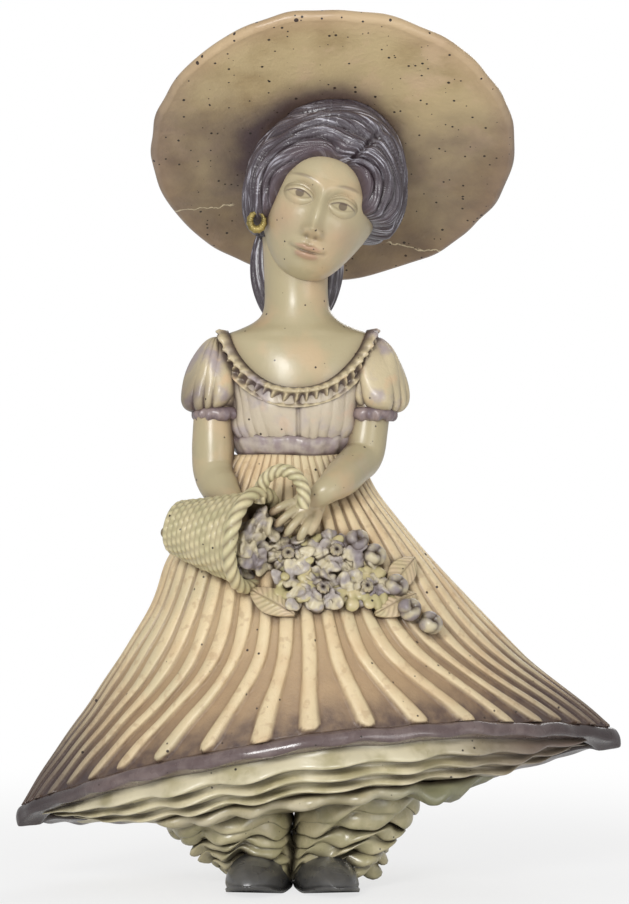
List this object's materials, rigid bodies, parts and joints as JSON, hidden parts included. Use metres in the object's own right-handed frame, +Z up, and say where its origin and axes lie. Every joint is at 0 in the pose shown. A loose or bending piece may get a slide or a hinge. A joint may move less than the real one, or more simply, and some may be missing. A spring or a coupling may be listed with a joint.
{
  "type": "chalkware figurine",
  "caption": "Free-standing plaster figure of a girl in a wide hat and pleated skirt, with a flower basket; stands on its shoe soles as an ornament.",
  "frame": {"origin": "on the standing surface, under the middle of the hem band's bounding box", "axes": "+Z up, -Y towards the front of the figure, +X to the right of someone facing it"},
  "size_m": [0.2154, 0.1294, 0.3181],
  "materials": {
    "hat_glaze": "satin glaze, speckled",
    "hair_glaze": "satin glaze with rubbed highlights",
    "skin_glaze": "gloss glaze",
    "dress_glaze": "gloss glaze with dark wash in the recesses",
    "sash_glaze": "satin glaze",
    "skirt_glaze": "satin glaze with brown wash between the pleats",
    "hem_glaze": "gloss glaze",
    "petticoat_glaze": "gloss glaze with dark wash in the folds",
    "pantaloon_glaze": "gloss glaze with dark wash in the folds",
    "shoe_glaze": "satin glaze",
    "basket_glaze": "satin glaze",
    "petal_glaze": "satin glaze",
    "leaf_glaze": "satin glaze",
    "earring_gilt": "gilt paint",
    "pin_steel": "drawn steel"
  },
  "bodies": {
    "root": {"arm_left": "skin_glaze", "arm_right": "skin_glaze", "arm_wire_left": "pin_steel", "arm_wire_right": "pin_steel", "basket_body": "basket_glaze", "basket_handle": "basket_glaze", "basket_rim": "basket_glaze", "bodice": "dress_glaze", "buds": "petal_glaze", "bust": "skin_glaze", "cuff_left": "sash_glaze", "cuff_right": "sash_glaze", "earring": "earring_gilt", "flounce_1_left": "pantaloon_glaze", "flounce_1_right": "pantaloon_glaze", "flounce_2_left": "pantaloon_glaze", "flounce_2_right": "pantaloon_glaze", "flounce_3_left": "pantaloon_glaze", "flounce_3_right": "pantaloon_glaze", "hair_cap": "hair_glaze", "hair_tresses": "hair_glaze", "hand_left": "skin_glaze", "hat": "hat_glaze", "hat_pin": "pin_steel", "head": "skin_glaze", "hem_band": "hem_glaze", "leaves": "leaf_glaze", "leg_pin_left": "pin_steel", "leg_pin_right": "pin_steel", "neckline_frill": "dress_glaze", "petticoat_floor": "petticoat_glaze", "petticoat_tier_1": "petticoat_glaze", "petticoat_tier_2": "petticoat_glaze", "petticoat_tier_3": "petticoat_glaze", "rosette_eyes": "leaf_glaze", "rosettes": "petal_glaze", "shoe_left": "shoe_glaze", "shoe_right": "shoe_glaze", "skirt": "skirt_glaze", "sleeve_left": "dress_glaze", "sleeve_right": "dress_glaze", "spine_rod": "pin_steel", "waist_sash": "sash_glaze"}
  },
  "joints": []
}
